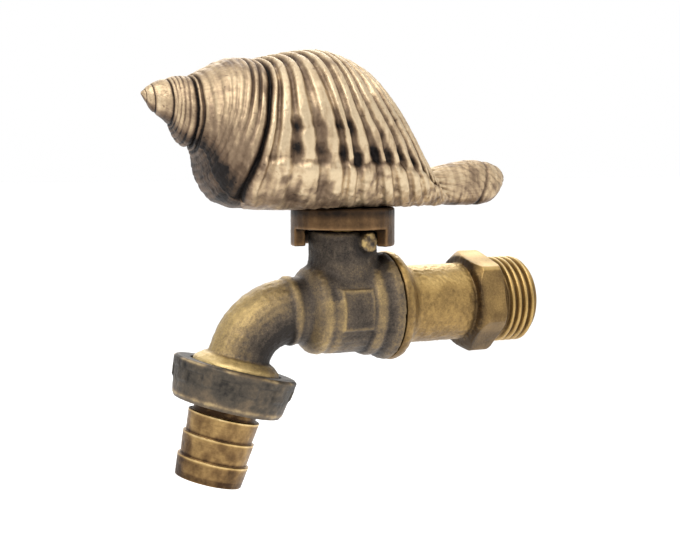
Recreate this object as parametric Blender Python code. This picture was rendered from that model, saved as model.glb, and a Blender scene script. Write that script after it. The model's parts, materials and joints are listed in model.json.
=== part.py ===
"""Quarter-turn garden hose bib with a cast sea-shell handle, as separate working pieces.

Frame: metres, +Z up. The origin is the centre of the inlet thread's end face, +X points out
of the inlet towards the supply pipe, and the spout bends down on the -X side. The stem, the
ball and the handle turn about a vertical axis STEM_X from the origin.
"""

import math

import bmesh
import bpy
from mathutils import Matrix, Vector

MM = 0.001
GAP = 0.3  # running clearance between neighbouring pieces, mm

# Driving dimensions, in millimetres. x is measured from the stem axis, z from the barrel axis.
STEM_X = -48.0

THREAD_CREST_R = 10.478
THREAD_ROOT_R = 9.32
THREAD_PITCH = 1.814
THREAD_TURNS = 5
INLET_END_X = 48.0
HEX_X = (31.2, 38.3)
HEX_FLATS = 22.0
HEX_CORNER_R = 12.4  # the corners are turned down to this
HEX_TURN = math.radians(16.0)
BARREL_R = 9.25
INLET_BORE_R = 7.2
SOCKET_R = 10.5
SEAM_X = 10.3
SPIGOT_R = 10.2
SPIGOT_END_X = 11.9
JOINT_WASHER = 0.7

BODY_R = 10.5
CAVITY_R = 8.6
CAVITY_END_X = -7.6
SPOUT_BORE_R = 4.9
NECK_R = 8.0
NECK_TOP_Z = 18.1
STOP_R = 2.4
STOP_REACH = 9.9
STOP_Z = 15.8
STOP_ANGLE = math.radians(286.0)

BEND_X = -13.2
BEND_RADIUS = 13.0
SPOUT_TILT = math.radians(15.5)
NUT_FACE = 2.56  # from the end of the bend to the plane of the nut's top face
NUT_HEIGHT = 9.2
TAIL_END = 26.2  # from the nut's top face to the open end of the hose tail
BARB_STARTS = (11.2, 16.1, 21.3)
BARB_R = (8.2, 7.6)
TAIL_BORE_R = 5.8

BALL_R = 7.6
BALL_BORE_R = 4.7
STEM_R = 3.3
STEM_TOP_Z = 28.6
STEM_FLATS = 5.2
O_RING_HEIGHTS = (11.6, 12.95)
GLAND_FLOOR_Z = 13.7

HUB_R = 12.1
HUB_SKIRT_R = 9.3
HUB_Z = (18.7, 23.6)
HUB_SKIRT_Z = 14.7
HUB_WINDOW = (math.radians(181.0), math.radians(301.2))

SCREW_X = 6.8
SCREW_R = 1.45
SCREW_HEAD_R = 2.4
SCREW_TOP_Z = 31.0

SHELL_SEAT_Z = 23.9
MOUTH_X = 20.6  # middle of the opening under the shell
MOUTH_HALF = (6.9, 4.4)
MOUTH_TOP_Z = 28.5

# Stations of the shell: x, lowest z, highest z, half width.
SHELL_STATIONS = (
    (-47.2, 47.6, 49.4, 0.9),
    (-43.4, 43.6, 51.4, 3.6),
    (-38.6, 37.6, 52.5, 6.9),
    (-35.6, 34.8, 53.3, 9.5),
    (-32.0, 26.2, 55.0, 13.1),
    (-26.0, 23.6, 56.7, 16.9),
    (-16.0, 23.2, 58.0, 18.4),
    (-5.0, 23.2, 58.8, 18.8),
    (3.0, 23.2, 55.4, 17.6),
    (10.0, 23.4, 44.8, 15.3),
    (16.0, 23.5, 35.2, 12.0),
    (21.5, 23.6, 32.4, 8.3),
    (26.0, 23.5, 33.1, 5.8),
    (33.0, 23.5, 34.2, 5.4),
    (38.5, 24.0, 33.9, 5.0),
    (42.0, 26.8, 32.5, 3.1),
    (43.2, 28.5, 31.0, 1.3),
)


# ---------------------------------------------------------------- materials


def metal(name, colour, roughness, metallic=1.0):
    """A Principled material; the same name gives the same material again."""
    made = bpy.data.materials.get(name)
    if made:
        return made
    made = bpy.data.materials.new(name)
    made.use_nodes = True
    shader = made.node_tree.nodes["Principled BSDF"]
    shader.inputs["Base Color"].default_value = (*colour, 1.0)
    shader.inputs["Roughness"].default_value = roughness
    shader.inputs["Metallic"].default_value = metallic
    return made


def dark_brass():
    return metal("cast_brass_dark", (0.20, 0.15, 0.09), 0.55)


def gold_brass():
    return metal("cast_brass_gold", (0.55, 0.36, 0.12), 0.42)


def bronze():
    return metal("shell_bronze", (0.45, 0.33, 0.22), 0.5)


def hub_bronze():
    return metal("hub_bronze", (0.24, 0.16, 0.08), 0.5)


def nut_bronze():
    return metal("nut_bronze", (0.16, 0.13, 0.10), 0.6)


def tail_brass():
    return metal("tail_brass", (0.42, 0.27, 0.10), 0.42)


def turned_brass():
    return metal("turned_brass", (0.60, 0.42, 0.16), 0.3)


def chrome():
    return metal("ball_chrome", (0.80, 0.80, 0.82), 0.1)


def steel():
    return metal("screw_steel", (0.55, 0.55, 0.56), 0.35)


def ptfe():
    return metal("seat_ptfe", (0.86, 0.86, 0.83), 0.5, 0.0)


def rubber():
    return metal("seal_rubber", (0.02, 0.02, 0.02), 0.7, 0.0)


# ---------------------------------------------------------------- geometry helpers


def place_on_stem():
    """Stem frame to world: the stem axis stands at STEM_X from the origin."""
    return Matrix.Translation((STEM_X * MM, 0, 0))


def along_x():
    """Turns a shape made about +Z so that its axis runs along +X of the stem frame."""
    return place_on_stem() @ Matrix.Rotation(math.pi / 2, 4, "Y")


def spout_direction():
    return Vector((-math.sin(SPOUT_TILT), 0, -math.cos(SPOUT_TILT)))


def bend_end():
    """End of the elbow's centre line, in the stem frame, mm."""
    swept = math.pi / 2 - SPOUT_TILT
    x = BEND_X - BEND_RADIUS * math.sin(swept)
    return Vector((x, 0, -BEND_RADIUS * (1 - math.cos(swept))))


def along_spout():
    """Frame of the outlet: origin in the nut's top face, +Z down the hose tail."""
    start = bend_end() + spout_direction() * NUT_FACE
    turn = Vector((0, 0, 1)).rotation_difference(spout_direction()).to_matrix().to_4x4()
    return place_on_stem() @ Matrix.Translation(start * MM) @ turn


def finish_object(name, mesh_builder, matrix, material, sharp=35.0):
    """Wraps a bmesh in mm as an object whose origin is the matrix's origin, in metres."""
    bmesh.ops.recalc_face_normals(mesh_builder, faces=mesh_builder.faces)
    mesh_builder.transform(Matrix.Scale(MM, 4))
    mesh = bpy.data.meshes.new(name)
    mesh_builder.to_mesh(mesh)
    mesh_builder.free()
    mesh.shade_smooth()
    mesh.set_sharp_from_angle(angle=math.radians(sharp))
    made = bpy.data.objects.new(name, mesh)
    made.matrix_world = matrix
    bpy.context.scene.collection.objects.link(made)
    if material:
        mesh.materials.append(material)
    else:
        made.hide_render = True
        made.display_type = "WIRE"
    return made


def rings_to_faces(build, rings, closed_loop):
    """Joins successive rings of vertices; a ring of one vertex is a pole."""
    pairs = list(zip(rings, rings[1:]))
    if closed_loop:
        pairs.append((rings[-1], rings[0]))
    for low, high in pairs:
        count = max(len(low), len(high))
        for i in range(count):
            j = (i + 1) % count
            corners = [low[i % len(low)], low[j % len(low)]]
            corners += [high[j % len(high)], high[i % len(high)]]
            build.faces.new(list(dict.fromkeys(corners)))


def turned(name, profile, matrix, material=None, segments=36):
    """Solid of revolution about +Z. profile holds (height, radius) points.

    A profile that starts and ends at radius 0 is a solid; any other is a closed loop, a ring.
    """
    build = bmesh.new()
    rings = []
    for height, radius in profile:
        if radius == 0:
            rings.append([build.verts.new((0, 0, height))])
            continue
        ring = []
        for i in range(segments):
            angle = 2 * math.pi * i / segments
            point = (radius * math.cos(angle), radius * math.sin(angle), height)
            ring.append(build.verts.new(point))
        rings.append(ring)
    is_ring = profile[0][1] != 0
    rings_to_faces(build, rings, closed_loop=is_ring)
    return finish_object(name, build, matrix, material)


def prism(name, outline, low, high, matrix, material=None):
    """Extrudes a closed outline of (x, y) points from z = low to z = high."""
    build = bmesh.new()
    bottom = [build.verts.new((x, y, low)) for x, y in outline]
    top = [build.verts.new((x, y, high)) for x, y in outline]
    rings_to_faces(build, [bottom, top], closed_loop=False)
    build.faces.new(bottom)
    build.faces.new(top)
    return finish_object(name, build, matrix, material)


def box_outline(half_x, half_y):
    return [(-half_x, -half_y), (half_x, -half_y), (half_x, half_y), (-half_x, half_y)]


def sector_outline(inner, outer, start, end, steps=12):
    angles = [start + (end - start) * i / steps for i in range(steps + 1)]
    arc = [(outer * math.cos(a), outer * math.sin(a)) for a in angles]
    return arc + [(inner * math.cos(a), inner * math.sin(a)) for a in reversed(angles)]


def flatted_outline(radius, flats, segments=32):
    """A round bar with four flats, as an outline."""
    outline = []
    for i in range(segments):
        a = 2 * math.pi * (i + 0.5) / segments
        reach = min(radius, flats / 2 / max(abs(math.cos(a)), abs(math.sin(a))))
        outline.append((reach * math.cos(a), reach * math.sin(a)))
    return outline


def swept(name, path, matrix, material=None, segments=26):
    """A round tube along path, a list of (centre, direction, radius) in the XZ plane."""
    build = bmesh.new()
    rings = []
    for centre, direction, radius in path:
        side = Vector((0, 1, 0))
        up = side.cross(direction)
        ring = []
        for i in range(segments):
            a = 2 * math.pi * i / segments
            offset = side * (radius * math.cos(a)) + up * (radius * math.sin(a))
            ring.append(build.verts.new(centre + offset))
        rings.append(ring)
    rings_to_faces(build, rings, closed_loop=False)
    build.faces.new(rings[0])
    build.faces.new(rings[-1])
    return finish_object(name, build, matrix, material)


def change(target, tool, operation):
    """Adds a Boolean of the tool, which stays in the scene as a hidden guide."""
    modifier = target.modifiers.new(tool.name, "BOOLEAN")
    modifier.operation = operation
    modifier.object = tool
    modifier.solver = "EXACT"
    return target


def cut(target, *tools):
    for tool in tools:
        change(target, tool, "DIFFERENCE")
    return target


def join(target, *tools):
    for tool in tools:
        change(target, tool, "UNION")
    return target


# ---------------------------------------------------------------- valve body


def elbow_path(radius_at, start_x, last, steps=9):
    """Stations down the spout: a short straight, the bend, then the straight outlet.

    radius_at takes the distance from the nut's top face, negative above it.
    last lists the distances of the stations on the straight outlet.
    """
    total = math.pi / 2 - SPOUT_TILT
    path = []
    centre = Vector((BEND_X, 0, -BEND_RADIUS))
    bend_length = BEND_RADIUS * total
    path.append((Vector((start_x, 0, 0)), Vector((-1, 0, 0)), radius_at(-99.0)))
    for i in range(steps + 1):
        a = total * i / steps
        spoke = Vector((-math.sin(a), 0, math.cos(a)))
        direction = Vector((-math.cos(a), 0, -math.sin(a)))
        distance = -NUT_FACE - bend_length * (1 - i / steps)
        path.append((centre + spoke * BEND_RADIUS, direction, radius_at(distance)))
    face = bend_end() + spout_direction() * NUT_FACE
    for distance in last:
        point = face + spout_direction() * distance
        path.append((point, spout_direction(), radius_at(distance)))
    return path


def elbow_radius(distance):
    """Outer radius of the spout: a slight taper, a bead, a flare, then the nut's thread."""
    if distance < -4.5:
        return 7.5 - 0.5 * max(0.0, 1 + (distance + 4.5) / 14.0)
    stations = ((-4.5, 7.0), (-2.3, 7.1), (-1.9, 8.2), (-0.6, 9.8), (-0.3, 10.0), (4.2, 10.0))
    for (a, ra), (b, rb) in zip(stations, stations[1:]):
        if distance <= b:
            return ra + (rb - ra) * (distance - a) / (b - a)
    return stations[-1][1]


def make_body():
    """Cast body: barrel with beads, spout, neck with its stop boss, and all the bores."""
    barrel = [
        (-14.9, 0),
        (-14.9, 7.6),
        (-14.4, 8.0),
        (-13.6, 8.1),
        (-12.6, 7.7),
        (-10.9, 7.8),
        (-9.6, 9.4),
        (-8.6, 10.2),
        (-7.4, 10.45),
        (-6.0, 10.2),
        (-4.6, BODY_R),
        (3.4, BODY_R),
        (4.3, 11.3),
        (5.6, 11.5),
        (7.0, 11.3),
        (7.8, 11.7),
        (8.8, 12.5),
        (SEAM_X, 12.8),
        (SEAM_X, SPIGOT_R),
        (SPIGOT_END_X, SPIGOT_R),
        (SPIGOT_END_X, 0),
    ]
    body = turned("valve_body", barrel, along_x(), dark_brass(), 36)
    last = (-2.3, -1.9, -0.6, -0.3, 4.2)
    spout = swept("guide_spout", elbow_path(elbow_radius, -11.0, last), place_on_stem())
    neck_profile = [(2.0, 0), (2.0, NECK_R), (NECK_TOP_Z - 0.4, NECK_R)]
    neck_profile += [(NECK_TOP_Z, NECK_R - 0.4), (NECK_TOP_Z, 0)]
    neck = turned("guide_neck", neck_profile, place_on_stem(), None, 28)
    aim = Matrix.Rotation(STOP_ANGLE, 4, "Z") @ Matrix.Rotation(math.pi / 2, 4, "Y")
    lift = Matrix.Translation((0, 0, STOP_Z * MM))
    stop_profile = [(6.0, 0), (6.0, STOP_R), (STOP_REACH - 0.3, STOP_R)]
    stop_profile += [(STOP_REACH, STOP_R - 0.3), (STOP_REACH, 0)]
    stop = turned("guide_stop", stop_profile, place_on_stem() @ lift @ aim, None, 16)
    join(body, spout, neck, stop)

    cavity_profile = [(CAVITY_END_X, 0), (CAVITY_END_X, CAVITY_R)]
    cavity_profile += [(SPIGOT_END_X + 2, CAVITY_R), (SPIGOT_END_X + 2, 0)]
    cavity = turned("guide_cavity", cavity_profile, along_x(), None, 28)
    bore_path = elbow_path(lambda distance: SPOUT_BORE_R, CAVITY_END_X + 1.0, (-1.0, 6.0))
    bore = swept("guide_spout_bore", bore_path, place_on_stem(), None, 20)
    throat = [(6.0, 0), (6.0, 5.3), (10.8, 5.3), (10.8, 3.6), (GLAND_FLOOR_Z, 3.6)]
    throat += [(GLAND_FLOOR_Z, 5.2), (NECK_TOP_Z + 2, 5.2), (NECK_TOP_Z + 2, 0)]
    stem_bore = turned("guide_stem_bore", throat, place_on_stem(), None, 28)
    cut(body, stem_bore, bore, cavity)


def make_tailpiece():
    """Inlet tailpiece: socket on the body, barrel, spanner hex and parallel pipe thread."""
    start = SEAM_X + GAP
    outer = [
        (start, SOCKET_R),
        (start, 12.8),
        (11.4, 12.9),
        (12.4, 12.7),
        (13.3, 12.0),
        (14.2, 10.8),
        (15.0, 9.8),
        (16.0, BARREL_R + 0.1),
        (HEX_X[0] - 0.6, BARREL_R),
        (HEX_X[0] + 0.4, BARREL_R + 0.8),
        (HEX_X[1] - 1.0, THREAD_CREST_R + 0.15),
        (HEX_X[1] + 0.1, THREAD_CREST_R + 0.15),
        (HEX_X[1] + 0.1, THREAD_ROOT_R),
    ]
    root = HEX_X[1] + 0.75
    for turn in range(THREAD_TURNS):
        foot = root + turn * THREAD_PITCH
        outer.append((foot, THREAD_ROOT_R))
        outer.append((foot + THREAD_PITCH * 0.42, THREAD_CREST_R))
        outer.append((foot + THREAD_PITCH * 0.58, THREAD_CREST_R))
    outer.append((INLET_END_X, THREAD_ROOT_R + 0.5))
    socket_floor = SPIGOT_END_X + JOINT_WASHER + 2 * GAP
    inner = [
        (INLET_END_X, INLET_BORE_R),
        (socket_floor, INLET_BORE_R),
        (socket_floor, SOCKET_R),
    ]
    tail = turned("inlet_tailpiece", outer + inner, along_x(), gold_brass(), 32)
    corner = HEX_FLATS / math.sqrt(3)
    hexagon = [
        (corner * math.cos(math.pi * i / 3), corner * math.sin(math.pi * i / 3))
        for i in range(6)
    ]
    spin = Matrix.Rotation(HEX_TURN, 4, "Z")
    nut = prism("guide_hex", hexagon, HEX_X[0], HEX_X[1], along_x() @ spin)
    round_off = [
        (HEX_X[0] - 0.5, 0),
        (HEX_X[0] - 0.5, 10.2),
        (HEX_X[0] + 1.6, HEX_CORNER_R),
        (HEX_X[1] - 0.8, HEX_CORNER_R),
        (HEX_X[1] + 0.4, 11.4),
        (HEX_X[1] + 0.5, 0),
    ]
    change(nut, turned("guide_hex_rims", round_off, along_x(), None, 36), "INTERSECT")
    core = [(HEX_X[0] - 2, 0), (HEX_X[0] - 2, 9.0), (HEX_X[1] + 2, 9.0), (HEX_X[1] + 2, 0)]
    cut(nut, turned("guide_hex_core", core, along_x(), None, 36))
    join(tail, nut)


# ---------------------------------------------------------------- ball, seats and seals


def make_ball():
    edge = math.asin(BALL_BORE_R / BALL_R)
    steps = 12
    profile = []
    for i in range(steps + 1):
        a = edge + (math.pi - 2 * edge) * i / steps
        profile.append((-BALL_R * math.cos(a), BALL_R * math.sin(a)))
    ball = turned("ball", profile, along_x(), chrome(), 24)
    slot = prism("guide_ball_slot", box_outline(1.6, 9.0), 5.6, 9.0, place_on_stem())
    cut(ball, slot)


def make_seats():
    """Two seat rings with a 45 degree face towards the ball, and the ring that holds them."""
    near, far, bore, rim = 4.3, 7.3, BALL_BORE_R, CAVITY_R - GAP
    profile = [(near, rim), (near, 7.0), (6.6, bore), (far, bore), (far, rim)]
    turned("inlet_seat", profile, along_x(), ptfe(), 28)
    mirrored = [(-x, r) for x, r in profile]
    turned("outlet_seat", mirrored, along_x(), ptfe(), 28)
    start = far + GAP
    retainer = [(start, bore + 0.2), (start, rim), (start + 3.6, rim), (start + 3.6, bore + 0.2)]
    ring = turned("seat_retainer", retainer, along_x(), turned_brass(), 28)
    slot = prism("guide_retainer_slot", box_outline(1.0, 12.0), start + 2.4, start + 6.0, along_x())
    cut(ring, slot)
    start = SPIGOT_END_X + GAP
    end = start + JOINT_WASHER
    washer = [(start, CAVITY_R), (start, SPIGOT_R), (end, SPIGOT_R), (end, CAVITY_R)]
    turned("body_joint_washer", washer, along_x(), ptfe(), 28)


def torus_ring(name, height, radius, thickness, matrix, material, sides=8):
    profile = []
    for i in range(sides):
        a = 2 * math.pi * i / sides
        profile.append((height + thickness * math.cos(a), radius + thickness * math.sin(a)))
    return turned(name, profile, matrix, material, 24)


def make_stem():
    """Stem with the ball's tang, a blow-out collar, an O-ring groove and a flatted top."""
    shaft = [
        (8.6, 0),
        (8.6, 4.9),
        (9.6, 4.9),
        (9.6, STEM_R),
    ]
    for height in O_RING_HEIGHTS:
        shaft.append((height - 0.55, STEM_R))
        shaft.append((height - 0.55, 2.4))
        shaft.append((height + 0.55, 2.4))
        shaft.append((height + 0.55, STEM_R))
    shaft += [(18.3, STEM_R), (18.3, 0)]
    stem = turned("stem", shaft, place_on_stem(), turned_brass(), 28)
    tang = prism("guide_tang", box_outline(1.25, 3.6), 5.95, 9.0, place_on_stem())
    square = flatted_outline(STEM_R, STEM_FLATS)
    top = prism("guide_stem_flats", square, 17.6, STEM_TOP_Z, place_on_stem())
    join(stem, tang, top)
    washer = [(9.9, STEM_R + GAP), (9.9, 5.0), (10.5, 5.0), (10.5, STEM_R + GAP)]
    turned("stem_thrust_washer", washer, place_on_stem(), ptfe(), 24)
    for name, height in zip(("stem_o_ring_lower", "stem_o_ring_upper"), O_RING_HEIGHTS):
        torus_ring(name, height, 3.0, 0.45, place_on_stem(), rubber())


def make_gland():
    bore, rim = STEM_R + GAP, 4.9
    low, middle, high = GLAND_FLOOR_Z + GAP, GLAND_FLOOR_Z + 1.6, NECK_TOP_Z - GAP
    packing = [(low, bore), (low, rim), (middle, rim), (middle, bore)]
    turned("stem_packing", packing, place_on_stem(), ptfe(), 24)
    foot = middle + GAP
    nut = [(foot, bore), (foot, rim), (high, rim), (high, bore)]
    gland = turned("packing_nut", nut, place_on_stem(), turned_brass(), 28)
    slot = prism("guide_gland_slot", box_outline(0.7, 7.0), high - 0.9, high + 1.0, place_on_stem())
    cut(gland, slot)


# ---------------------------------------------------------------- outlet


def make_spout_nut():
    """Collar nut: a tapered cup with grip recesses, its floor lipped round the hose tail."""
    top, bottom = 0.0, NUT_HEIGHT
    profile = [
        (top, 13.2),
        (top + 0.7, 13.8),
        (top + 4.6, 14.0),
        (bottom - 1.5, 13.0),
        (bottom, 11.6),
        (bottom, 8.6),
        (7.5, 8.6),
        (7.5, 10.5),
        (top, 10.5),
    ]
    nut = turned("spout_nut", profile, along_spout(), nut_bronze(), 40)
    grips = 10
    for i in range(grips):
        spin = Matrix.Rotation(2 * math.pi * i / grips, 4, "Z")
        shift = Matrix.Translation((14.6 * MM, 0, 0))
        outline = box_outline(1.2, 2.0)
        name = f"guide_grip_{i + 1}"
        cut(nut, prism(name, outline, 2.2, 5.6, along_spout() @ spin @ shift))


def make_hose_tail():
    wide, narrow = BARB_R
    neck = 7.2
    outer = [(6.0, TAIL_BORE_R), (6.0, 10.1), (7.2, 10.1), (7.2, neck)]
    ends = (*BARB_STARTS[1:], TAIL_END)
    for start, end in zip(BARB_STARTS, ends):
        if start == BARB_STARTS[0]:
            outer.append((start, neck))
        outer.append((start, wide))
        outer.append((end, narrow))
    outer.append((TAIL_END, TAIL_BORE_R))
    turned("hose_tail", outer, along_spout(), tail_brass(), 36)
    washer = [(4.5, TAIL_BORE_R), (4.5, 9.9), (5.7, 9.9), (5.7, TAIL_BORE_R)]
    turned("hose_tail_washer", washer, along_spout(), rubber(), 28)


# ---------------------------------------------------------------- handle


def screw_places():
    return {"shell_screw_front": -SCREW_X, "shell_screw_rear": SCREW_X}


def make_hub():
    """Handle hub: a plate on the stem's flats, with a skirt whose window sets the stops."""
    low, high = HUB_Z
    profile = [(high, 0), (high, HUB_R - 0.4), (high - 0.4, HUB_R), (HUB_SKIRT_Z, HUB_R)]
    profile += [(HUB_SKIRT_Z, HUB_SKIRT_R), (low, HUB_SKIRT_R), (low, 0)]
    hub = turned("handle_hub", profile, place_on_stem(), hub_bronze(), 40)
    window = sector_outline(HUB_SKIRT_R - 1.5, HUB_R + 2.0, *HUB_WINDOW)
    cut(hub, prism("guide_window", window, HUB_SKIRT_Z - 2.0, low, place_on_stem()))
    hole = flatted_outline(STEM_R + GAP, STEM_FLATS + 2 * GAP)
    cut(hub, prism("guide_hub_flats", hole, low - 2.0, high + 2.0, place_on_stem()))
    middle = (low + high) / 2
    lift = Matrix.Translation((0, 0, middle * MM)) @ Matrix.Rotation(-math.pi / 2, 4, "X")
    tapped = [(2.0, 0), (2.0, 1.9), (14.0, 1.9), (14.0, 0)]
    cut(hub, turned("guide_set_hole", tapped, place_on_stem() @ lift, None, 16))
    for name, x in screw_places().items():
        sink = [(low - 1.0, 0), (low - 1.0, SCREW_HEAD_R + GAP), (low + 0.2, SCREW_HEAD_R + GAP)]
        sink += [(low + 1.6, SCREW_R + GAP), (high + 1.0, SCREW_R + GAP), (high + 1.0, 0)]
        at = place_on_stem() @ Matrix.Translation((x * MM, 0, 0))
        cut(hub, turned("guide_" + name, sink, at, None, 16))
    set_screw = [(STEM_FLATS / 2 + GAP, 0), (STEM_FLATS / 2 + GAP, 1.2), (3.5, 1.6), (11.4, 1.6)]
    set_screw += [(11.4, 0)]
    screw = turned("hub_set_screw", set_screw, place_on_stem() @ lift, steel(), 16)
    hexagon = [(0.9 * math.cos(math.pi * i / 3), 0.9 * math.sin(math.pi * i / 3)) for i in range(6)]
    cut(screw, prism("guide_set_key", hexagon, 9.6, 13.0, place_on_stem() @ lift))


def make_shell_screws():
    low = HUB_Z[0]
    for name, x in screw_places().items():
        profile = [(low + 0.1, 0), (low + 0.1, SCREW_HEAD_R), (low + 0.3, SCREW_HEAD_R)]
        profile += [(low + 1.5, SCREW_R), (SCREW_TOP_Z - 0.4, SCREW_R)]
        profile += [(SCREW_TOP_Z, SCREW_R - 0.4), (SCREW_TOP_Z, 0)]
        at = place_on_stem() @ Matrix.Translation((x * MM, 0, 0))
        screw = turned(name, profile, at, steel(), 16)
        slot = prism("guide_slot_" + name, box_outline(0.4, 4.0), low - 1.0, low + 0.7, at)
        cut(screw, slot)


def shell_solid(around=20):
    """Loft through the shell's stations: round above, flattened underneath."""
    build = bmesh.new()
    rings = []
    for x, low, high, half in SHELL_STATIONS:
        middle, tall = (low + high) / 2, (high - low) / 2
        ring = []
        for i in range(around):
            a = 2 * math.pi * i / around
            c, s = math.cos(a), math.sin(a)
            power = 2 / 2.4 if s < 0 else 1.0
            y = half * math.copysign(abs(c) ** power, c)
            z = middle + tall * math.copysign(abs(s) ** power, s)
            ring.append(build.verts.new((x, y, z)))
        rings.append(ring)
    rings_to_faces(build, rings, closed_loop=False)
    build.faces.new(rings[0])
    build.faces.new(rings[-1])
    return finish_object("shell_handle", build, place_on_stem(), bronze(), 50.0)


def make_shell():
    """Shell casting: a solid loft that sits on the hub, with its mouth open underneath."""
    shell = shell_solid()
    for name, x in screw_places().items():
        hole = [(20.0, 0), (20.0, SCREW_R + GAP), (SCREW_TOP_Z + 0.5, SCREW_R + GAP)]
        hole += [(SCREW_TOP_Z + 0.5, 0)]
        at = place_on_stem() @ Matrix.Translation((x * MM, 0, 0))
        cut(shell, turned("guide_hole_" + name, hole, at, None, 14))
    stem_room = [(15.0, 0), (15.0, STEM_R + 2 * GAP), (STEM_TOP_Z + 0.6, STEM_R + 2 * GAP)]
    stem_room += [(STEM_TOP_Z + 0.6, 0)]
    cut(shell, turned("guide_stem_room", stem_room, place_on_stem(), None, 20))
    seat = [(15.0, 0), (15.0, HUB_R + 0.6), (SHELL_SEAT_Z, HUB_R + 0.6), (SHELL_SEAT_Z, 0)]
    cut(shell, turned("guide_hub_seat", seat, place_on_stem(), None, 32))
    mouth = []
    for i in range(20):
        a = 2 * math.pi * i / 20
        mouth.append((MOUTH_X + MOUTH_HALF[0] * math.cos(a), MOUTH_HALF[1] * math.sin(a)))
    cut(shell, prism("guide_mouth", mouth, 20.0, MOUTH_TOP_Z, place_on_stem()))


def main():
    for leftover in list(bpy.data.objects):
        bpy.data.objects.remove(leftover, do_unlink=True)
    make_body()
    make_tailpiece()
    make_ball()
    make_seats()
    make_stem()
    make_gland()
    make_spout_nut()
    make_hose_tail()
    make_hub()
    make_shell_screws()
    make_shell()


main()
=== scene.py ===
import json
import math
from types import SimpleNamespace

import bmesh
import bpy
import numpy as np
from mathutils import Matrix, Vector


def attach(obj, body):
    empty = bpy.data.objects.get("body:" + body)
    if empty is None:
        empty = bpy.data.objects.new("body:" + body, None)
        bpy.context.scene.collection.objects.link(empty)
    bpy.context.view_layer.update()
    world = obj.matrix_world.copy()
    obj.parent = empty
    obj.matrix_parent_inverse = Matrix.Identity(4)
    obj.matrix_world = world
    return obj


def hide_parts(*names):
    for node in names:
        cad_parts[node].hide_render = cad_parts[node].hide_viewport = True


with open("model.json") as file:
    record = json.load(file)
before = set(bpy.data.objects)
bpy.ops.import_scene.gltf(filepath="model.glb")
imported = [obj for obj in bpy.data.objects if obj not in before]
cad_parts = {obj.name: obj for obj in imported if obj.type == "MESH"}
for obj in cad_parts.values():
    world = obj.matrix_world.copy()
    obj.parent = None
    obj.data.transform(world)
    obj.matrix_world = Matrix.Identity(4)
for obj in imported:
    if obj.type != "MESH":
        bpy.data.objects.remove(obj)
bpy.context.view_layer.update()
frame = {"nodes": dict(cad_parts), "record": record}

# A brass hose bib with a cast shell handle. Each visible casting gets a finely meshed piece with
# real relief and a wear_and_painted_light attribute, holding wear together with painted light and
# shade, which its material turns into patina or rubbed metal.
# Lengths are in mm in the stem frame: x from the stem axis, z from the barrel axis.
STEM_X = -48.0
TURN = 2 * math.pi

# ---------------------------------------------------------------- noise


def lattice(x, y, z, seed):
    """A fixed random value between -1 and 1 for each whole-number point."""
    n = (x * 374761393 + y * 668265263 + z * 1274126177 + seed * 974711) & 0xFFFFFFFF
    n = ((n ^ (n >> 13)) * 1274126177) & 0xFFFFFFFF
    return ((n ^ (n >> 16)) & 0xFFFF) / 32767.5 - 1.0


def noise(points, cell, seed=0):
    """Smooth noise between -1 and 1 with features about one cell across."""
    scaled = points / cell
    corner = np.floor(scaled).astype(np.int64)
    part = scaled - corner
    part = part * part * (3 - 2 * part)
    total = np.zeros(points.shape[:-1])
    for step in np.ndindex(2, 2, 2):
        weight = np.ones(points.shape[:-1])
        for axis in range(3):
            share = part[..., axis]
            weight = weight * (share if step[axis] else 1 - share)
        x, y, z = (corner[..., axis] + step[axis] for axis in range(3))
        total += weight * lattice(x, y, z, seed)
    return total


def layered(points, cell, layers, seed=0):
    """Noise at several scales, each half as large and half as strong as the last."""
    total = np.zeros(points.shape[:-1])
    for layer in range(layers):
        total += noise(points, cell / 2**layer, seed + layer) / 2**layer
    return total


def fade(value, start, end):
    """0 before start, 1 after end, smooth between them."""
    share = np.clip((value - start) / (end - start), 0.0, 1.0)
    return share * share * (3 - 2 * share)


def peak(value, centre, width):
    """1 at the centre, falling off smoothly over about the width."""
    return np.exp(-(((value - centre) / width) ** 2))


# ---------------------------------------------------------------- mesh building


def stem_to_world(points):
    """Stem frame in mm to the shared frame in metres."""
    return (points + (STEM_X, 0.0, 0.0)) * 0.001


def world_to_stem(points):
    """The shared frame in metres to the stem frame in mm."""
    return points * 1000.0 - (STEM_X, 0.0, 0.0)


def set_attribute(mesh, name, values):
    """Stores one number for each point of a mesh."""
    layer = mesh.attributes.new(name, "FLOAT", "POINT")
    layer.data.foreach_set("value", np.asarray(values, np.float32).ravel())


def grid_faces(rows, columns, rows_loop):
    """Quads of a grid whose columns close into rings."""
    row = np.arange(rows if rows_loop else rows - 1)[:, None] * columns
    after = (row + columns) % (rows * columns)
    left = np.arange(columns)[None, :]
    right = (left + 1) % columns
    return np.stack([row + left, row + right, after + right, after + left], -1).reshape(-1, 4)


def grid_normals(points, rows_loop):
    """Unit normals of a grid of points whose columns close into rings."""
    around = np.roll(points, -1, 1) - np.roll(points, 1, 1)
    if rows_loop:
        along = np.roll(points, -1, 0) - np.roll(points, 1, 0)
    else:
        along = np.gradient(points, axis=0)
    normal = np.cross(along, around)
    return normal / np.maximum(np.linalg.norm(normal, axis=-1, keepdims=True), 1e-9)


def make_object(name, points, faces, attributes):
    """A smooth mesh object from points in mm of the stem frame."""
    mesh = bpy.data.meshes.new(name)
    mesh.from_pydata(stem_to_world(points).tolist(), [], faces)
    for key, values in attributes.items():
        set_attribute(mesh, key, values)
    build = bmesh.new()
    build.from_mesh(mesh)
    bmesh.ops.recalc_face_normals(build, faces=build.faces)
    build.to_mesh(mesh)
    build.free()
    mesh.shade_smooth()
    made = bpy.data.objects.new(name, mesh)
    bpy.context.scene.collection.objects.link(made)
    return made


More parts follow.
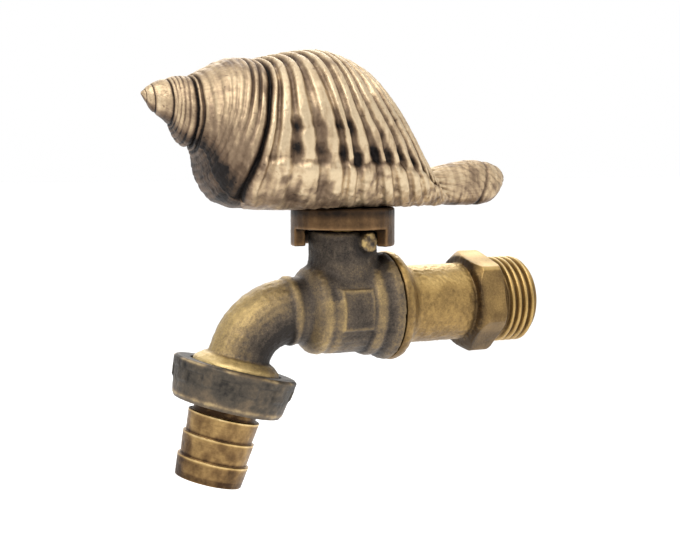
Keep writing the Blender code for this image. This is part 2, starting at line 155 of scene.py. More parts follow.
def grid_object(name, points, rows_loop, attributes):
    """Closes a grid into a mesh: a ring of rows, or a stack of rings with a fan at each end."""
    rows, columns = points.shape[:2]
    faces = grid_faces(rows, columns, rows_loop).tolist()
    flat = points.reshape(-1, 3)
    values = {key: np.asarray(value).ravel() for key, value in attributes.items()}
    if not rows_loop:
        poles = [points[0].mean(0), points[-1].mean(0)]
        first, last = len(flat), len(flat) + 1
        top = (rows - 1) * columns
        for k in range(columns):
            after = (k + 1) % columns
            faces.append((first, after, k))
            faces.append((last, top + k, top + after))
        flat = np.vstack([flat, poles])
        ends = {key: [value[0], value[-1]] for key, value in values.items()}
        values = {key: np.concatenate([value, ends[key]]) for key, value in values.items()}
    return make_object(name, flat, faces, values)


def settle(piece, body, slot, material, *nodes):
    """Gives a finished piece its body, its material and its looks, and hides the CAD node it stands for;
    slot is not used.
    """
    piece.data.materials.clear()
    piece.data.materials.append(material)
    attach(piece, body)
    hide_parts(*nodes)


def neighbour_mean(points, edges, count):
    """The mean of each point's neighbours; count is how many it has."""
    total = np.empty_like(points)
    ends = np.concatenate([edges[:, 0], edges[:, 1]])
    others = np.concatenate([edges[:, 1], edges[:, 0]])
    for axis in range(3):
        total[:, axis] = np.bincount(ends, weights=points[others, axis], minlength=len(points))
    return total / count[:, None]


def softened(points, edges, rounds, weight=1.0):
    """Relaxes a mesh; weight is how far each point moves towards its neighbours' mean."""
    count = np.bincount(edges.ravel(), minlength=len(points)).astype(float)
    weight = np.broadcast_to(weight, len(points))[:, None] * 0.5
    for _ in range(rounds):
        points = points + weight * (neighbour_mean(points, edges, count) - points)
    return points


def point_normals(mesh):
    """Unit normals, one row for each point."""
    normals = np.empty(len(mesh.vertices) * 3)
    mesh.vertex_normals.foreach_get("vector", normals)
    return normals.reshape(-1, 3)


def read_points(mesh):
    """Coordinates, one row for each point."""
    flat = np.empty(len(mesh.vertices) * 3)
    mesh.vertices.foreach_get("co", flat)
    return flat.reshape(-1, 3)


def read_edges(mesh):
    """The two points of each edge, one row for each edge."""
    flat = np.empty(len(mesh.edges) * 2, np.int64)
    mesh.edges.foreach_get("vertices", flat)
    return flat.reshape(-1, 2)


FILLET_ROUNDS = 60


def cast_copy(node, name, voxel, rounds, fillet=None):
    """A finely meshed copy of a CAD node with its edges rounded as a casting's are.

    fillet takes the points and returns 0 to 1, where the edges are rounded much more.
    """
    source = frame["nodes"][node]
    copy = bpy.data.objects.new(name, source.data.copy())
    bpy.context.scene.collection.objects.link(copy)
    remesh = copy.modifiers.new("even", "REMESH")
    remesh.mode = "VOXEL"
    remesh.voxel_size = voxel * 0.001
    bpy.context.view_layer.update()
    graph = bpy.context.evaluated_depsgraph_get()
    mesh = bpy.data.meshes.new_from_object(copy.evaluated_get(graph))
    copy.modifiers.clear()
    copy.data = mesh
    mesh.name = name
    points = world_to_stem(read_points(mesh))
    edges = read_edges(mesh)
    points = softened(points, edges, rounds)
    if fillet is not None:
        points = softened(points, edges, FILLET_ROUNDS, fillet(points))
    return copy, points, edges


def update_points(piece, points):
    """Moves a piece's points to these places in the stem frame."""
    piece.data.vertices.foreach_set("co", stem_to_world(points).ravel())
    piece.data.update()
    piece.data.shade_smooth()


def hollowness(points, edges, normals, rounds):
    """Positive in hollows and negative on edges, in mm, at the scale that the rounds reach."""
    return ((softened(points, edges, rounds) - points) * normals).sum(1)


# ---------------------------------------------------------------- materials


def new_material(name):
    """A material with its node tree and its Principled shader."""
    made = bpy.data.materials.new(name)
    made.use_nodes = True
    tree = made.node_tree
    return made, tree, tree.nodes["Principled BSDF"]


def noise_node(tree, cell, detail=4.0, roughness=0.6):
    """Noise of about this cell in mm, fixed to the object."""
    place = tree.nodes.new("ShaderNodeTexCoord")
    texture = tree.nodes.new("ShaderNodeTexNoise")
    texture.inputs["Scale"].default_value = 1000.0 / cell
    texture.inputs["Detail"].default_value = detail
    texture.inputs["Roughness"].default_value = roughness
    tree.links.new(place.outputs["Object"], texture.inputs["Vector"])
    return texture.outputs["Fac"]


def math_node(tree, operation, first, second):
    """A sum, difference or product of sockets or numbers."""
    node = tree.nodes.new("ShaderNodeMath")
    node.operation = operation
    for socket, value in zip(node.inputs, (first, second)):
        if isinstance(value, (int, float)):
            socket.default_value = value
        else:
            tree.links.new(value, socket)
    return node.outputs[0]


def ramp_node(tree, factor, stops):
    """A colour ramp; stops are (position, colour)."""
    ramp = tree.nodes.new("ShaderNodeValToRGB")
    elements = ramp.color_ramp.elements
    while len(elements) < len(stops):
        elements.new(0.5)
    for element, (position, colour) in zip(elements, stops):
        element.position = position
        element.color = (*colour, 1.0)
    tree.links.new(factor, ramp.inputs["Fac"])
    return ramp.outputs["Color"]


def range_node(tree, value, low, high):
    """Maps 0..1 onto low..high."""
    node = tree.nodes.new("ShaderNodeMapRange")
    node.inputs["To Min"].default_value = low
    node.inputs["To Max"].default_value = high
    tree.links.new(value, node.inputs["Value"])
    return node.outputs["Result"]


def bump_node(tree, shader, heights, depth):
    """Bump of this depth in mm from a 0..1 height."""
    bump = tree.nodes.new("ShaderNodeBump")
    bump.inputs["Distance"].default_value = depth * 0.001
    tree.links.new(heights, bump.inputs["Height"])
    tree.links.new(bump.outputs["Normal"], shader.inputs["Normal"])


def aged_metal(name, stops, rough, metallic, grain, mottle, depth, spread=0.35):
    """Cast metal between dark patina and rubbed bright metal, by the mesh's wear_and_painted_light
    attribute, which also holds painted light and shade.

    stops is the colour ramp over the wear and painted light, rough the roughness in patina and on bright
    metal, grain and mottle the cells of the fine and the broad variation in mm, depth the bump in mm,
    and spread how far the variation moves the wear and painted light.
    """
    made, tree, shader = new_material(name)
    wear_and_painted_light = tree.nodes.new("ShaderNodeAttribute")
    wear_and_painted_light.attribute_name = "wear_and_painted_light"
    fine = noise_node(tree, grain, 5.0, 0.7)
    broad = noise_node(tree, mottle, 3.0)
    stir = math_node(tree, "SUBTRACT", fine, 0.5)
    sweep = math_node(tree, "SUBTRACT", broad, 0.5)
    stir = math_node(tree, "MULTIPLY", math_node(tree, "ADD", stir, sweep), spread)
    varied_wear_and_light = math_node(tree, "ADD", wear_and_painted_light.outputs["Fac"], stir)
    tree.links.new(ramp_node(tree, varied_wear_and_light, stops), shader.inputs["Base Color"])
    tree.links.new(range_node(tree, varied_wear_and_light, *rough), shader.inputs["Roughness"])
    shader.inputs["Metallic"].default_value = metallic
    bump_node(tree, shader, fine, depth)
    return made


def plain_finish(name, colour, rough, metallic, cell, depth, change=0.12):
    """A machined, moulded or plated surface with slight variation of tone and gloss.

    cell is the size of the variation and depth its bump, in mm; change is its share of the colour.
    """
    made, tree, shader = new_material(name)
    fine = noise_node(tree, cell)
    darker = tuple(channel * (1 - change) for channel in colour)
    lighter = tuple(min(1.0, channel * (1 + change)) for channel in colour)
    tone = ramp_node(tree, fine, [(0.3, darker), (0.7, lighter)])
    tree.links.new(tone, shader.inputs["Base Color"])
    tree.links.new(range_node(tree, fine, rough - 0.06, rough + 0.06), shader.inputs["Roughness"])
    shader.inputs["Metallic"].default_value = metallic
    bump_node(tree, shader, fine, depth)
    return made


# ---------------------------------------------------------------- shell

# Section lines along the shell, spire tip to canal: crown x, crown z, foot x, foot z,
# half width, and how many whorls have passed at the crown.
SECTIONS = np.array(
    (
        (-47.3, 48.9, -47.3, 48.3, 0.3, -0.5),
        (-44.9, 50.7, -44.9, 44.9, 2.4, 1.2),
        (-41.0, 52.1, -41.7, 42.5, 4.6, 2.25),
        (-36.2, 52.9, -39.0, 38.2, 7.2, 3.15),
        (-28.8, 56.2, -35.3, 35.2, 11.9, 3.6),
        (-21.0, 56.8, -33.6, 28.7, 15.6, 4.08),
        (-14.5, 58.1, -28.6, 24.1, 17.7, 4.33),
        (-8.0, 58.9, -14.0, 23.1, 18.7, 4.53),
        (-3.1, 58.0, -3.0, 23.1, 18.6, 4.70),
        (2.2, 55.6, 7.0, 23.2, 17.1, 4.84),
        (6.2, 51.5, 16.0, 23.5, 14.3, 4.97),
        (9.0, 45.8, 21.5, 23.6, 11.2, 5.1),
        (12.3, 38.5, 25.2, 23.6, 8.4, 5.22),
        (15.7, 31.4, 28.0, 23.5, 6.0, 5.33),
        (28.0, 33.5, 31.5, 23.5, 5.3, 5.45),
        (34.8, 34.3, 35.5, 23.5, 5.4, 5.6),
        (40.2, 33.3, 39.5, 24.5, 4.4, 5.72),
        (42.5, 31.6, 42.1, 27.3, 2.3, 5.8),
        (43.15, 29.9, 43.15, 29.1, 0.4, 5.84),
    )
)
UNDERSIDE_POWER = 2 / 2.4  # below 1, the underside is fuller than an ellipse
# Wrinkles on the canal: narrow across, long on the slant.
WRINKLE_LEAN = np.array(((0.62, 0.0, 0.10), (0.0, 0.12, 0.0), (-0.42, 0.0, 0.08)))
FOLD_X = 28.6  # a fold across the canal
SHELL_ROWS = 700
SHELL_COLUMNS = 520
CREASE = 0.60 * math.pi  # turn of the growth crease, from the crown towards the front
LIP = 0.86 * math.pi  # turn of the lip's edge, on the underside
# Grooves between the spiral ribs of the body whorl, in whorls after the suture.
GROOVES = (0.0, 0.08, 0.175, 0.265, 0.36, 0.415, 0.503, 0.56, 0.63, 0.69, 0.75)
GROOVES += tuple(0.81 + 0.058 * k for k in range(18))
THIRD_WHORL_LINES = 5
FOURTH_WHORL_LINES = 9
# Relief of the shell.
SUTURE_DEPTH = 1.15
WHORL_BULGE = 0.35
RIB_HEIGHT = 0.35
GROOVE_DEPTH = 0.62
LIP_FLARE = 0.9
LIP_DENTS = 0.26
CREASE_DEPTH = 0.5
PIT_DEPTH = 0.8
GAP_DEPTH = 1.2
GRAIN_DEPTH = 0.07
# Where the hub seats, and the rooms that open on the underside: centre, half size and top.
SEAT_Z = 23.9
SEAT_R = 12.7
MOUTH = ((20.6, 0.0), (6.9, 4.4), 28.5)
STEM_ROOM = ((0.0, 0.0), (3.9, 3.9), 29.2)
SCREW_ROOMS = tuple(((x, 0.0), (1.75, 1.75), 31.5) for x in (-6.8, 6.8))


def along_sections(at):
    """Smooth curve through the section lines."""
    k = np.clip(np.floor(at).astype(int), 0, len(SECTIONS) - 2)
    t = (at - k)[:, None]
    before = SECTIONS[np.maximum(k - 1, 0)]
    start, end = SECTIONS[k], SECTIONS[k + 1]
    after = SECTIONS[np.minimum(k + 2, len(SECTIONS) - 1)]
    leave, arrive = (end - before) / 2, (after - start) / 2
    rise = t * t * (3 - 2 * t)
    return start + (end - start) * rise + leave * (t - 2 * t**2 + t**3) + arrive * (t**3 - t**2)


def shell_form(stations, turns):
    """Points of the shell before its whorls and ribs, the whorl count at each point, and the
    half width of each section.
    """
    crown_x, crown_z, foot_x, foot_z, half, passed = along_sections(stations).T
    half = np.maximum(half, 0.25)
    upright, across = np.cos(turns), np.sin(turns)
    flat = np.where(upright < 0, UNDERSIDE_POWER, 1.0)
    upright = np.sign(upright) * np.abs(upright) ** flat
    across = np.sign(across) * np.abs(across) ** flat
    middle = np.stack([(crown_x + foot_x) / 2, 0 * half, (crown_z + foot_z) / 2], -1)[:, None]
    rise = np.stack([(crown_x - foot_x) / 2, 0 * half, (crown_z - foot_z) / 2], -1)[:, None]
    side = np.stack([0 * half, -half, 0 * half], -1)[:, None]
    points = middle + rise * upright[None, :, None] + side * across[None, :, None]
    # A whorl winds back by one over a full turn, and runs ahead of that on the front.
    front = np.clip(turns, 0.0, math.pi)
    lag = turns / TURN + 0.015 * (1 - np.cos(turns))
    lag -= 0.05 * fade(front, 0.10 * math.pi, 0.45 * math.pi)
    lag -= 0.08 * fade(front, 0.50 * math.pi, 0.85 * math.pi)
    lag += 0.13 * fade(turns, 1.2 * math.pi, 1.9 * math.pi)
    return points, passed[:, None] - lag[None, :], half


def shell_places(points, whorl, turns, half):
    """What the relief depends on at each point: its whorl, its turn and its place among the ribs."""
    turn = np.broadcast_to(turns[None, :], whorl.shape)
    below = -np.cos(turn)
    past_lip = turn > LIP
    body = np.where(past_lip, whorl >= 3.0, whorl >= 4.0)
    body_part = whorl - np.where(past_lip, 3.0, 4.0)
    canal = fade(points[..., 0], 20.0, 27.0)
    # Ribs rise out of the smooth fourth whorl on the far side, and are worn down underneath.
    risen = np.where(past_lip, fade(turn, 1.15 * math.pi, 1.7 * math.pi), 1.0)
    risen = risen * (1 - 0.7 * fade(below, 0.60, 0.95))
    risen = risen * (1 - 0.85 * fade(points[..., 0], 11.0, 19.0) * fade(below, 0.25, 0.70))
    wander = noise(points * (1.0, 0.35, 0.35), 2.4, 5)
    strip = np.interp(body_part, GROOVES, np.arange(len(GROOVES)))
    place = (strip + 0.07 * wander) % 1.0
    from_groove = np.minimum(place, 1 - place)
    groove = np.where(body, (1 - fade(from_groove, 0.10, 0.30)) * risen, 0.0)
    fourth = (whorl > 3.0) & (whorl < 4.0) & (~body | past_lip)
    return SimpleNamespace(
        points=points,
        whorl=whorl,
        turn=turn,
        below=below,
        size=np.clip(half / 15.0, 0.12, 1.0)[:, None],
        past_lip=past_lip,
        body=body,
        body_part=body_part,
        spire_part=whorl - np.floor(whorl),
        canal=canal,
        risen=risen,
        wander=wander,
        place=place,
        from_groove=from_groove,
        groove=groove * (1 - 0.8 * canal),
        smooth=np.where(fourth, np.where(past_lip, 1 - risen, 1.0), 0.0),
        on_front=np.where(body & ~past_lip, 1 - canal, 0.0),
    )


def whorl_relief(at):
    """Each whorl bulges, and meets the next in a notched suture."""
    since = np.where(at.body, np.maximum(at.body_part, 0.0), at.spire_part)
    until = np.where(at.body, 1.0, 1.0 - at.spire_part)
    width = np.where(at.whorl > 3.0, 0.036, 0.065)
    notch = np.exp(-since / width) + np.exp(-until / (width * 0.8))
    bulge = np.where(at.body, 0.0, np.sin(math.pi * np.clip(since, 0, 1)))
    height = at.size * (WHORL_BULGE * bulge - SUTURE_DEPTH * notch)
    return height, 1.25 * np.clip(notch - 0.25, 0, 1)


def rib_relief(at):
    """Round ribs on the body whorl, with stained grooves between them."""
    crown = np.where(at.body, np.sin(math.pi * at.place) ** 0.7 * at.risen, 0.0)
    height = (RIB_HEIGHT - 0.25 * at.canal) * crown
    height -= (GROOVE_DEPTH - 0.30 * at.canal) * at.groove
    stain = fade(layered(at.points * (0.7, 1.0, 1.0), 4.0, 2, 6), -0.9, 0.5)
    return height, (0.24 + 0.34 * stain - 0.18 * at.canal) * at.groove


def spire_relief(at):
    """Spiral lines of the spire: fine on the third whorl, broad and low on the fourth."""
    third = ~at.body & (at.whorl > 2.0) & (at.whorl < 3.0)
    faint = 0.35 + 0.65 * fade(noise(at.points, 2.2, 15), -0.5, 0.4)
    faint = np.where(third, faint, 0.0)
    fine = 0.5 + 0.5 * np.cos(TURN * THIRD_WHORL_LINES * at.whorl + 1.2 * at.wander)
    height = -0.15 * faint * fine**3
    dark = 0.42 * faint * fine**4
    upper = fade(-at.below, -0.4, 0.5)
    edge = fade(at.spire_part, 0.66, 0.76) * upper + (1 - fade(at.spire_part, 0.12, 0.20))
    broad = 0.5 + 0.5 * np.cos(TURN * FOURTH_WHORL_LINES * (at.whorl - 3.0) + 0.7 * at.wander)
    height -= at.smooth * (0.20 + 0.45 * edge) * broad**2
    dark += at.smooth * (0.06 + 0.60 * edge) * broad**2.5
    dark += at.smooth * 0.34 * fade(at.turn, 0.42 * math.pi, 0.80 * math.pi)
    return height, dark


def lip_relief(at):
    """The growth crease, the flared and dented lip below it, and two rows of pits above it."""
    wave = 0.07 * noise(at.points * (1.0, 0.0, 0.0), 3.5, 9) + 0.03 * noise(at.points, 1.2, 10)
    past_crease = at.turn - CREASE - wave - 0.20 * fade(at.body_part, 0.62, 1.0)
    broken = 0.25 + 0.75 * fade(noise(at.points, 3.0, 11), -0.4, 0.5)
    crease = peak(past_crease, 0.0, 0.035) * broken
    flare = fade(past_crease, -0.03, 0.12)
    dents = layered(at.points, 2.6, 3, 12)
    pits = peak(past_crease, -0.11, 0.085)
    pits += 0.8 * (1 - fade(at.body_part, 0.42, 0.50)) * peak(past_crease, -0.36, 0.08)
    pits *= fade(at.body_part, 0.11, 0.19) * (0.5 + 0.5 * broken)
    pits *= 1 - fade(at.from_groove, 0.20, 0.42)
    height = LIP_FLARE * flare - CREASE_DEPTH * crease - PIT_DEPTH * pits
    height += flare * (LIP_DENTS * dents - 0.15 * at.groove)
    dark = 0.40 * crease + 0.85 * pits
    dark += flare * (0.42 * np.clip(-dents, 0, 1) - 0.26 * at.groove - 0.08)
    return at.on_front * height, at.on_front * dark


def gap_relief(at):
    """Gaps between the first ribs, which open up over the crown, darkened with painted shadow."""
    wide = np.where(at.body & ~at.past_lip, 1 - fade(at.from_groove, 0.18, 0.40), 0.0)
    first_ribs = fade(at.body_part, 0.03, 0.07) * (1 - fade(at.body_part, 0.30, 0.40))
    gaps = peak(np.sin(at.turn / 2), 0.09, 0.11) * wide * first_ribs
    # Painted shadow darkens the gaps.
    return -GAP_DEPTH * gaps, 0.8 * gaps


def canal_relief(at):
    """Wrinkles on the canal, and a fold across it."""
    wrinkles = fade(noise(at.points @ WRINKLE_LEAN, 1.0, 23), 0.0, 0.9)
    fold = peak(at.points[..., 0] - 0.25 * at.points[..., 2], FOLD_X, 0.55)
    height = -at.canal * (0.10 * wrinkles + 0.35 * fold)
    return height, at.canal * (0.13 * wrinkles + 0.45 * fold + 0.15)


def shell_skin(at):
    """Growth lines, casting grain, patches, specks and streaks of patina, and painted shade on the
    underside.
    """
    growth = noise(np.stack([at.whorl * 9.0, at.turn * 26.0, 0 * at.turn], -1), 1.0, 13)
    height = 0.02 * at.size * growth + GRAIN_DEPTH * layered(at.points, 1.1, 3, 21)
    # Painted shade darkens the underside.
    dark = 0.05 * growth + 0.45 * fade(at.below, 0.45, 0.95)
    dark += 0.26 * np.clip(layered(at.points, 5.5, 3, 31), 0, 1)
    dark += 0.30 * fade(layered(at.points, 0.8, 3, 33), 0.75, 1.25)
    dark += 0.15 * layered(at.points * (1.0, 0.14, 0.14), 0.7, 2, 35) - 0.04
    dark += np.where(at.body, 0.0, 0.20)
    return height, dark


def shell_surface(points, whorl, turns, half):
    """Height in mm over the plain form, and wear with painted shade, from 0 in black grooves and
    shadowed places to 1 on rubbed ribs.
    """
    at = shell_places(points, whorl, turns, half)
    height = np.zeros(whorl.shape)
    dark = np.zeros(whorl.shape)
    features = (whorl_relief, rib_relief, spire_relief, lip_relief, gap_relief, canal_relief)
    for feature in (*features, shell_skin):
        raised, darkening = feature(at)
        height += raised
        dark += darkening
    return height, np.clip(1.0 - dark, 0.0, 1.0)


def lift_underside(points, centre, half, top):
    """Sinks a pocket up into the underside, inside an ellipse around the centre."""
    reach = ((points[..., 0] - centre[0]) / half[0]) ** 2
    reach += ((points[..., 1] - centre[1]) / half[1]) ** 2
    inside = (reach < 1.0) & (points[..., 2] < top) & (points[..., 2] < SEAT_Z + 3.0)
    points[..., 2] = np.where(inside, top - 0.35 * reach, points[..., 2])
    return inside


def make_shell():
    """The shell casting, one grid from the spire's tip to the canal's end."""
    last = len(SECTIONS) - 1.0
    stations = np.linspace(0.0, last, SHELL_ROWS)
    turns = np.arange(SHELL_COLUMNS) * TURN / SHELL_COLUMNS
    points, whorl, half = shell_form(stations, turns)
    height, wear_and_painted_light = shell_surface(points, whorl, turns, half)
    normals = grid_normals(points, False)
    outward = np.sign((normals * (points - points.mean(1, keepdims=True))).sum(-1).mean())
    ends = np.minimum(fade(stations, 0.0, 0.8), 1 - fade(stations, last - 0.7, last))
    points = points + normals * outward * (height * ends[:, None])[..., None]
    close = np.hypot(points[..., 0], points[..., 1]) < SEAT_R
    points[..., 2] = np.where(close, np.maximum(points[..., 2], SEAT_Z), points[..., 2])
    for room in (MOUTH, STEM_ROOM, *SCREW_ROOMS):
        inside = lift_underside(points, *room)
        wear_and_painted_light = np.where(inside, 0.1, wear_and_painted_light)
    shell = grid_object("shell_cast", points, False, {"wear_and_painted_light": wear_and_painted_light})
    bronze = aged_metal(
        "shell_bronze_aged",
        [
            (0.02, (0.012, 0.009, 0.008)),
            (0.35, (0.118, 0.075, 0.046)),
            (0.62, (0.235, 0.163, 0.102)),
            (0.86, (0.47, 0.345, 0.21)),
            (1.0, (0.60, 0.47, 0.30)),
        ],
        rough=(0.62, 0.40),
        metallic=0.75,
        grain=0.7,
        mottle=6.0,
        depth=0.10,
    )
    settle(shell, "handle", "shell_bronze", bronze, "shell_handle")


# ---------------------------------------------------------------- body casting

BEND_X = -13.2  # where the swan neck starts to bend down
BEND_RADIUS = 13.0
SPOUT_TILT = math.radians(15.5)
SPOUT_AXIS = np.array((-math.sin(SPOUT_TILT), 0.0, -math.cos(SPOUT_TILT)))
SPOUT_SIDE = np.array((math.cos(SPOUT_TILT), 0.0, -math.sin(SPOUT_TILT)))
NUT_FACE = 2.56  # from the end of the bend to the nut's top face
BEND_END = np.array(
    (
        BEND_X - BEND_RADIUS * math.cos(SPOUT_TILT),
        0.0,
        -BEND_RADIUS * (1 - math.sin(SPOUT_TILT)),
    )
)
NUT_TOP = BEND_END + SPOUT_AXIS * NUT_FACE
NECK_R = 8.0
BODY_R = 10.5
BEADS = (-13.4, -7.6, 5.4)  # the raised rings of the body
BOSS_END_R = 9.6  # the stop boss's end stands out past this
SPOUT_X = -14.0
PANEL_X = -0.4
PANEL_Z = 0.5
PANEL_HALF = (3.6, 4.3)
LIT_SPOUT_SIDE = np.array((-0.62, -0.25, 0.74))  # the side of the spout that faces the light, painted brighter as painted light


def neck_root(points):
    """1 along the line where the neck grows out of the barrel."""
    x, y, z = points.T
    from_neck = np.hypot(x, y) - NECK_R
    from_barrel = np.hypot(y, z) - BODY_R
    near = np.hypot(np.maximum(from_neck, 0), np.maximum(from_barrel, 0))
    return peak(near, 0.0, 1.6) * (z > 0) * (from_neck > -1.0) * (from_barrel > -1.0)


def panel_outline(points):
    """1 along the outline of a blank raised panel on the front of the barrel."""
    x, y, z = points.T
    beside = np.abs(x - PANEL_X) - PANEL_HALF[0]
    above = np.abs(z - PANEL_Z) - PANEL_HALF[1]
    return peak(np.maximum(beside, above), 0.0, 0.40) * (y < -6.0)


def body_wear_and_painted_light(points, normals, boss_end):
    """Painted light on the upper left of the spout, rubbed bright near the nut and on the beads, dark on
    the neck, and painted shade underneath.
    """
    x, y, z = points.T
    on_spout = fade(-x, 13.0, 16.0)
    down_spout = (points - NUT_TOP) @ SPOUT_AXIS
    # Painted light: the spout is painted brighter where it faces the upper front left and darker away
    # from it.
    wear_and_painted_light = 0.26 + on_spout * (0.64 * (normals @ LIT_SPOUT_SIDE) - 0.24)
    wear_and_painted_light += on_spout * 0.40 * peak(down_spout, 0.0, 2.6)
    wear_and_painted_light += 0.16 * peak(x, -10.6, 1.6) * (1 - on_spout)
    for bead in BEADS:
        wear_and_painted_light += 0.12 * peak(x, bead, 0.9) * (1 - on_spout) * (z < 9.5)
    wear_and_painted_light += 0.18 * peak(x, -6.0, 2.5) * (z < 3.0) * (y < 0)
    wear_and_painted_light += 0.16 * peak(z, -9.0, 4.0) * (1 - on_spout)
    wear_and_painted_light += 0.20 * boss_end - 0.30 * boss_end * fade(layered(points, 1.1, 2, 49), 0.1, 0.7)
    # Painted shade on faces that look down.
    wear_and_painted_light -= 0.22 * fade(-normals[:, 2], 0.1, 0.9)
    wear_and_painted_light -= 0.16 * fade(z, 9.0, 13.0) * ~boss_end
    return wear_and_painted_light + 0.10 * layered(points, 5.0, 2, 43)


def make_body():
    """The body casting, with a sandy skin outside and machined bores."""
    body, points, edges = cast_copy("valve_body", "body_casting", voxel=0.26, rounds=6, fillet=neck_root)
    update_points(body, points)
    normals = point_normals(body.data)
    hollow = hollowness(points, edges, normals, 30)
    x, y, z = points.T
    boss_end = (np.hypot(x, y) > BOSS_END_R) & (z > 13.0)
    panel = panel_outline(points)
    sand = layered(points, 0.9, 3, 41)
    wear_and_painted_light = body_wear_and_painted_light(points, normals, boss_end) + 0.05 * sand + 0.24 * panel
    wear_and_painted_light -= 1.7 * np.clip(hollow, -0.12, 0.12)
    from_axis = np.hypot(y, z)
    skin = (from_axis > 9.4) | (z > 9.0) | (x < SPOUT_X)
    bore = (from_axis < 9.2) & (x > -7.0)
    lift = np.where(skin, 0.09, 0.0135) * ~bore * sand + 0.34 * panel
    lift += np.where(boss_end, 0.30 * layered(points, 1.3, 3, 47), 0.0)
    update_points(body, points + normals * lift[:, None])
    set_attribute(body.data, "wear_and_painted_light", np.clip(wear_and_painted_light, 0.0, 1.0))
    brass = aged_metal(
        "cast_brass_dark_aged",
        [
            (0.05, (0.034, 0.028, 0.024)),
            (0.28, (0.099, 0.077, 0.057)),
            (0.50, (0.224, 0.159, 0.082)),
            (0.78, (0.447, 0.318, 0.129)),
            (1.0, (0.585, 0.430, 0.189)),
        ],
        rough=(0.60, 0.36),
        metallic=0.82,
        grain=0.22,
        mottle=0.45,
        depth=0.10,
        spread=0.46,
    )
    settle(body, "body", "cast_brass_dark", brass, "valve_body")


# ---------------------------------------------------------------- lathed pieces


def outline(profile, spacing, rounding):
    """Evenly spaced rows along a closed profile, its corners rounded over about the rounding."""
    closed = np.array([*profile, profile[0]], float)
    lengths = np.hypot(closed[1:, 0] - closed[:-1, 0], closed[1:, 1] - closed[:-1, 1])
    along = np.concatenate([[0.0], np.cumsum(lengths)])
    count = int(round(along[-1] / spacing))
    at = np.arange(count) * along[-1] / count
    rows = np.stack([np.interp(at, along, column) for column in closed.T], -1)
    reach = int(3 * rounding / spacing) + 1
    steps = np.arange(-reach, reach + 1)
    weights = np.exp(-((steps * spacing / rounding) ** 2))
    weights /= weights.sum()
    return sum(w * np.roll(rows, step, 0) for w, step in zip(weights, steps))


def around_inlet(along, radius, turns):
    """Points about the inlet's axis; turn 0 faces the back."""
    x = np.broadcast_to(along, radius.shape)
    return np.stack([x, radius * np.cos(turns), radius * np.sin(turns)], -1)


def around_spout(along, radius, turns):
    """Points about the spout's axis; turn 0 faces the front."""
    front = np.array((0.0, -1.0, 0.0))
    outward = np.cos(turns)[..., None] * front + np.sin(turns)[..., None] * SPOUT_SIDE
    centre = NUT_TOP + np.broadcast_to(along, radius.shape)[..., None] * SPOUT_AXIS
    return centre + radius[..., None] * outward


TAIL_START_X = 10.6
COLLAR_R = 12.9
SOCKET_R = 10.5
SOCKET_FLOOR_X = 13.2
BARREL_R = 9.25
INLET_BORE_R = 7.2
HEX_X = (31.2, 38.3)
HEX_FLATS = 22.0
HEX_CORNER_R = 12.4
HEX_TURN = math.radians(16.0)
THREAD_ROOT_R = 9.32
THREAD_CREST_R = 10.478
THREAD_PITCH = 1.814
THREAD_X = (38.9, 47.6)
INLET_END_X = 48.0


def spanner_hex(along, turns):
    """Radius of the hexagon, its corners turned down and its ends chamfered."""
    from_flat = np.abs((turns - HEX_TURN + math.pi / 6) % (math.pi / 3) - math.pi / 6)
    radius = HEX_FLATS / 2 / np.cos(math.pi / 6 - from_flat)
    radius = np.minimum(radius, HEX_CORNER_R)
    radius = np.minimum(radius, 10.7 + 1.05 * np.clip(along - HEX_X[0], 0, 3))
    return np.minimum(radius, 11.7 + 0.85 * np.clip(HEX_X[1] - along, 0, 3))


